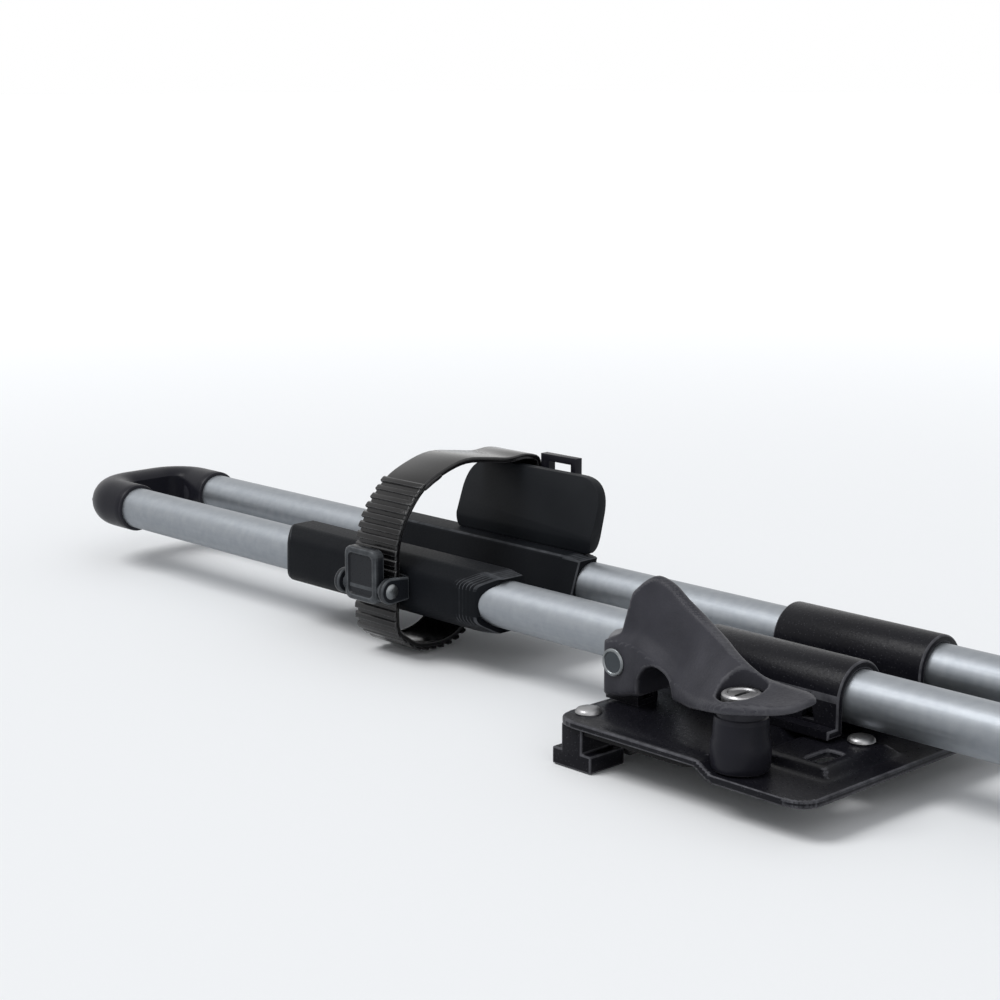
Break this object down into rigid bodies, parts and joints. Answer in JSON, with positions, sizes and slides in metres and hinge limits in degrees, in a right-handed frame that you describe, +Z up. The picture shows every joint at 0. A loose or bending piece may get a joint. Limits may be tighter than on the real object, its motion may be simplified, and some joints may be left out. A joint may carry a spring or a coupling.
{
  "type": "roof bike carrier",
  "caption": "Roof bike carrier with twin tube rails, quick-clamp feet for slotted roof bars, strapped wheel holders and a folding arm that grips the bicycle's frame.",
  "frame": {"origin": "rear foot's rubber seat, above the roof bar's slot and midway between the rails", "axes": "+X along the rails to the front, +Z up, -Y the side with the clamping levers"},
  "size_m": [1.5014, 0.148, 0.5241],
  "materials": {
    "tube_aluminium": "satin anodised",
    "loop_plastic": "smooth matte",
    "holder_plastic": "fine-grained matte",
    "strap_rubber": "semi-gloss ribbed",
    "rest_plastic": "matte",
    "buckle_plastic": "satin",
    "coated_steel": "fine speckled powder coat",
    "zinc_steel": "zinc plated",
    "dark_steel": "dark",
    "pad_rubber": "matte",
    "lever_plastic": "glass-filled, matte",
    "knob_plastic": "matte"
  },
  "bodies": {
    "rails": {"near_tube": "tube_aluminium", "far_tube": "tube_aluminium", "rear_end_loop": "loop_plastic", "front_end_loop": "loop_plastic", "arm_base": "holder_plastic", "arm_base_clamp": "holder_plastic", "arm_base_screws": "zinc_steel", "arm_pivot_bolt": "zinc_steel", "rear_foot_plate": "coated_steel", "rear_seat_pad": "pad_rubber", "rear_tube_saddle": "coated_steel", "rear_saddle_bolts": "zinc_steel", "rear_slot_keys": "coated_steel", "rear_rivets": "zinc_steel", "rear_lever_bracket": "coated_steel", "rear_lock_post": "lever_plastic", "front_foot_plate": "coated_steel", "front_seat_pad": "pad_rubber", "front_tube_saddle": "coated_steel", "front_saddle_bolts": "zinc_steel", "front_slot_keys": "coated_steel", "front_rivets": "zinc_steel", "front_lever_bracket": "coated_steel", "front_lock_post": "lever_plastic"},
    "rear_holder_body": {"rear_wheel_holder": "holder_plastic", "rear_strap": "strap_rubber", "rear_rim_rest": "rest_plastic", "rear_strap_keeper": "loop_plastic", "rear_buckle_frame": "buckle_plastic", "rear_buckle_pin": "dark_steel", "rear_buckle_spring": "zinc_steel"},
    "rear_thumb_body": {"rear_thumb_lever": "buckle_plastic"},
    "rear_lever_body": {"rear_lever": "lever_plastic", "rear_lever_pin": "dark_steel"},
    "rear_pull_body": {"rear_pull_bolt": "zinc_steel"},
    "rear_barrel_body": {"rear_lock_barrel": "zinc_steel"},
    "front_holder_body": {"front_wheel_holder": "holder_plastic", "front_strap": "strap_rubber", "front_rim_rest": "rest_plastic", "front_strap_keeper": "loop_plastic", "front_buckle_frame": "buckle_plastic", "front_buckle_pin": "dark_steel", "front_buckle_spring": "zinc_steel"},
    "front_thumb_body": {"front_thumb_lever": "buckle_plastic"},
    "front_lever_body": {"front_lever": "lever_plastic", "front_lever_pin": "dark_steel"},
    "front_pull_body": {"front_pull_bolt": "zinc_steel"},
    "front_barrel_body": {"front_lock_barrel": "zinc_steel"},
    "arm_body": {"arm_knuckle": "holder_plastic", "arm_tube": "tube_aluminium", "arm_cap": "loop_plastic", "lower_jaw": "lever_plastic", "lower_jaw_pad": "pad_rubber"},
    "upper_jaw_body": {"upper_jaw": "lever_plastic", "upper_jaw_pad": "pad_rubber"},
    "knob_body": {"clamp_spindle": "zinc_steel", "clamp_knob": "knob_plastic"}
  },
  "joints": [
    {"name": "rear_holder_slide", "type": "slide", "parent": "rails", "child": "rear_holder_body", "axis": [1, 0, 0], "range_m": [-0.115, 0.085]},
    {"name": "rear_thumb_press", "type": "hinge", "parent": "rear_holder_body", "child": "rear_thumb_body", "pos_m": [-0.1605, -0.0464, 0.0185], "axis": [-1, 0, 0], "range_deg": [0, 12], "stiffness_Nm_per_rad": 0.15},
    {"name": "rear_lever_swing", "type": "hinge", "parent": "rails", "child": "rear_lever_body", "pos_m": [0, -0.055, 0.022], "axis": [0, -1, 0], "range_deg": [0, 100]},
    {"name": "rear_pull_draw", "type": "slide", "parent": "rails", "child": "rear_pull_body", "axis": [0, 0, -1], "range_m": [0, 0.00176]},
    {"name": "rear_lock_turn", "type": "hinge", "parent": "rails", "child": "rear_barrel_body", "pos_m": [0.07, -0.077, 0.012], "axis": [0, 0, 1], "range_deg": [0, 90]},
    {"name": "front_holder_slide", "type": "slide", "parent": "rails", "child": "front_holder_body", "axis": [1, 0, 0], "range_m": [-0.045, 0.08]},
    {"name": "front_thumb_press", "type": "hinge", "parent": "front_holder_body", "child": "front_thumb_body", "pos_m": [0.8775, -0.0464, 0.0185], "axis": [-1, 0, 0], "range_deg": [0, 12], "stiffness_Nm_per_rad": 0.15},
    {"name": "front_lever_swing", "type": "hinge", "parent": "rails", "child": "front_lever_body", "pos_m": [0.66, -0.055, 0.022], "axis": [0, -1, 0], "range_deg": [0, 100]},
    {"name": "front_pull_draw", "type": "slide", "parent": "rails", "child": "front_pull_body", "axis": [0, 0, -1], "range_m": [0, 0.00176]},
    {"name": "front_lock_turn", "type": "hinge", "parent": "rails", "child": "front_barrel_body", "pos_m": [0.73, -0.077, 0.012], "axis": [0, 0, 1], "range_deg": [0, 90]},
    {"name": "arm_fold", "type": "hinge", "parent": "rails", "child": "arm_body", "pos_m": [0.56, 0.04, 0.05], "axis": [0, -1, 0], "range_deg": [-25, 75]},
    {"name": "jaw_close", "type": "slide", "parent": "arm_body", "child": "upper_jaw_body", "axis": [0.2588, 0, -0.9659], "range_m": [0, 0.048]},
    {"name": "knob_turn", "type": "hinge", "parent": "arm_body", "child": "knob_body", "pos_m": [0.44353, 0.04, 0.48467], "axis": [-0.2588, 0, 0.9659], "range_deg": [0, 4320]}
  ],
  "couplings": [
    {"joint": "rear_lever_swing", "follows": "rear_pull_draw", "rad_per_m": 991.66},
    {"joint": "front_lever_swing", "follows": "front_pull_draw", "rad_per_m": 991.66},
    {"joint": "knob_turn", "follows": "jaw_close", "rad_per_m": 1570.8}
  ]
}
